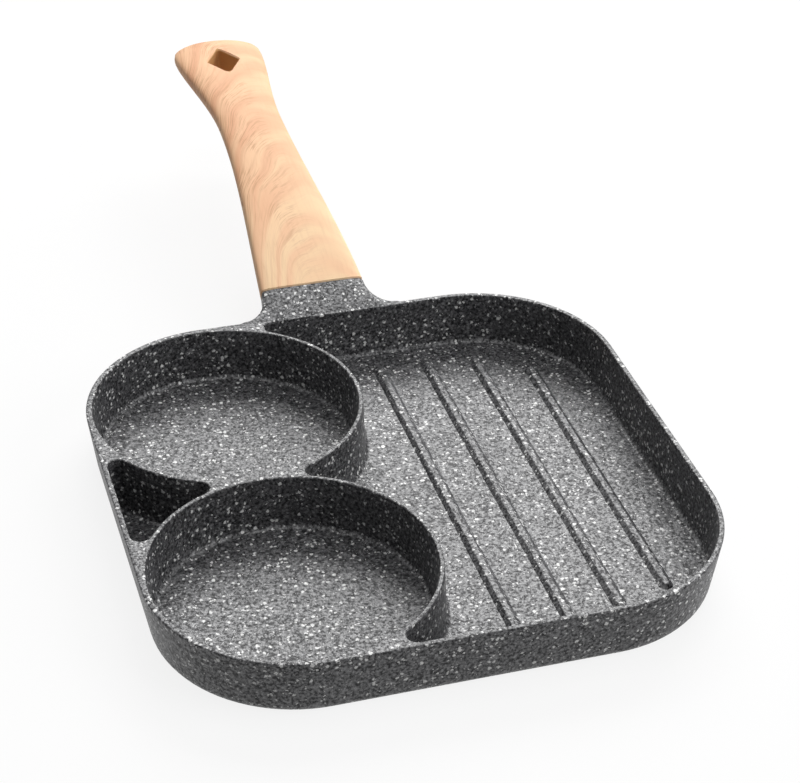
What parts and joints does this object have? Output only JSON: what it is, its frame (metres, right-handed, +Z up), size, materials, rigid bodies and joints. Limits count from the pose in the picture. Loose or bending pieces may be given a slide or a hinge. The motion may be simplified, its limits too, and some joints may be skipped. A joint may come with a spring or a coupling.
{
  "type": "mini frying pan",
  "caption": "Square mini frying pan with a ribbed griddle side, round egg wells, a small side pocket and a curved wooden handle with a diamond hang hole.",
  "frame": {"origin": "centre of the pan's flat base, on the surface that the pan stands on", "axes": "+Y from the pan towards the end of the handle, +Z up out of the pan, +X towards the griddle side"},
  "size_m": [0.19, 0.3718, 0.0512],
  "materials": {
    "coated_aluminium": "satin, speckled non-stick coating",
    "light_wood": "satin",
    "steel": "satin"
  },
  "bodies": {
    "root": {"pan_body": "coated_aluminium", "handle": "light_wood", "handle_screw": "steel", "spring_washer": "steel"}
  },
  "joints": []
}
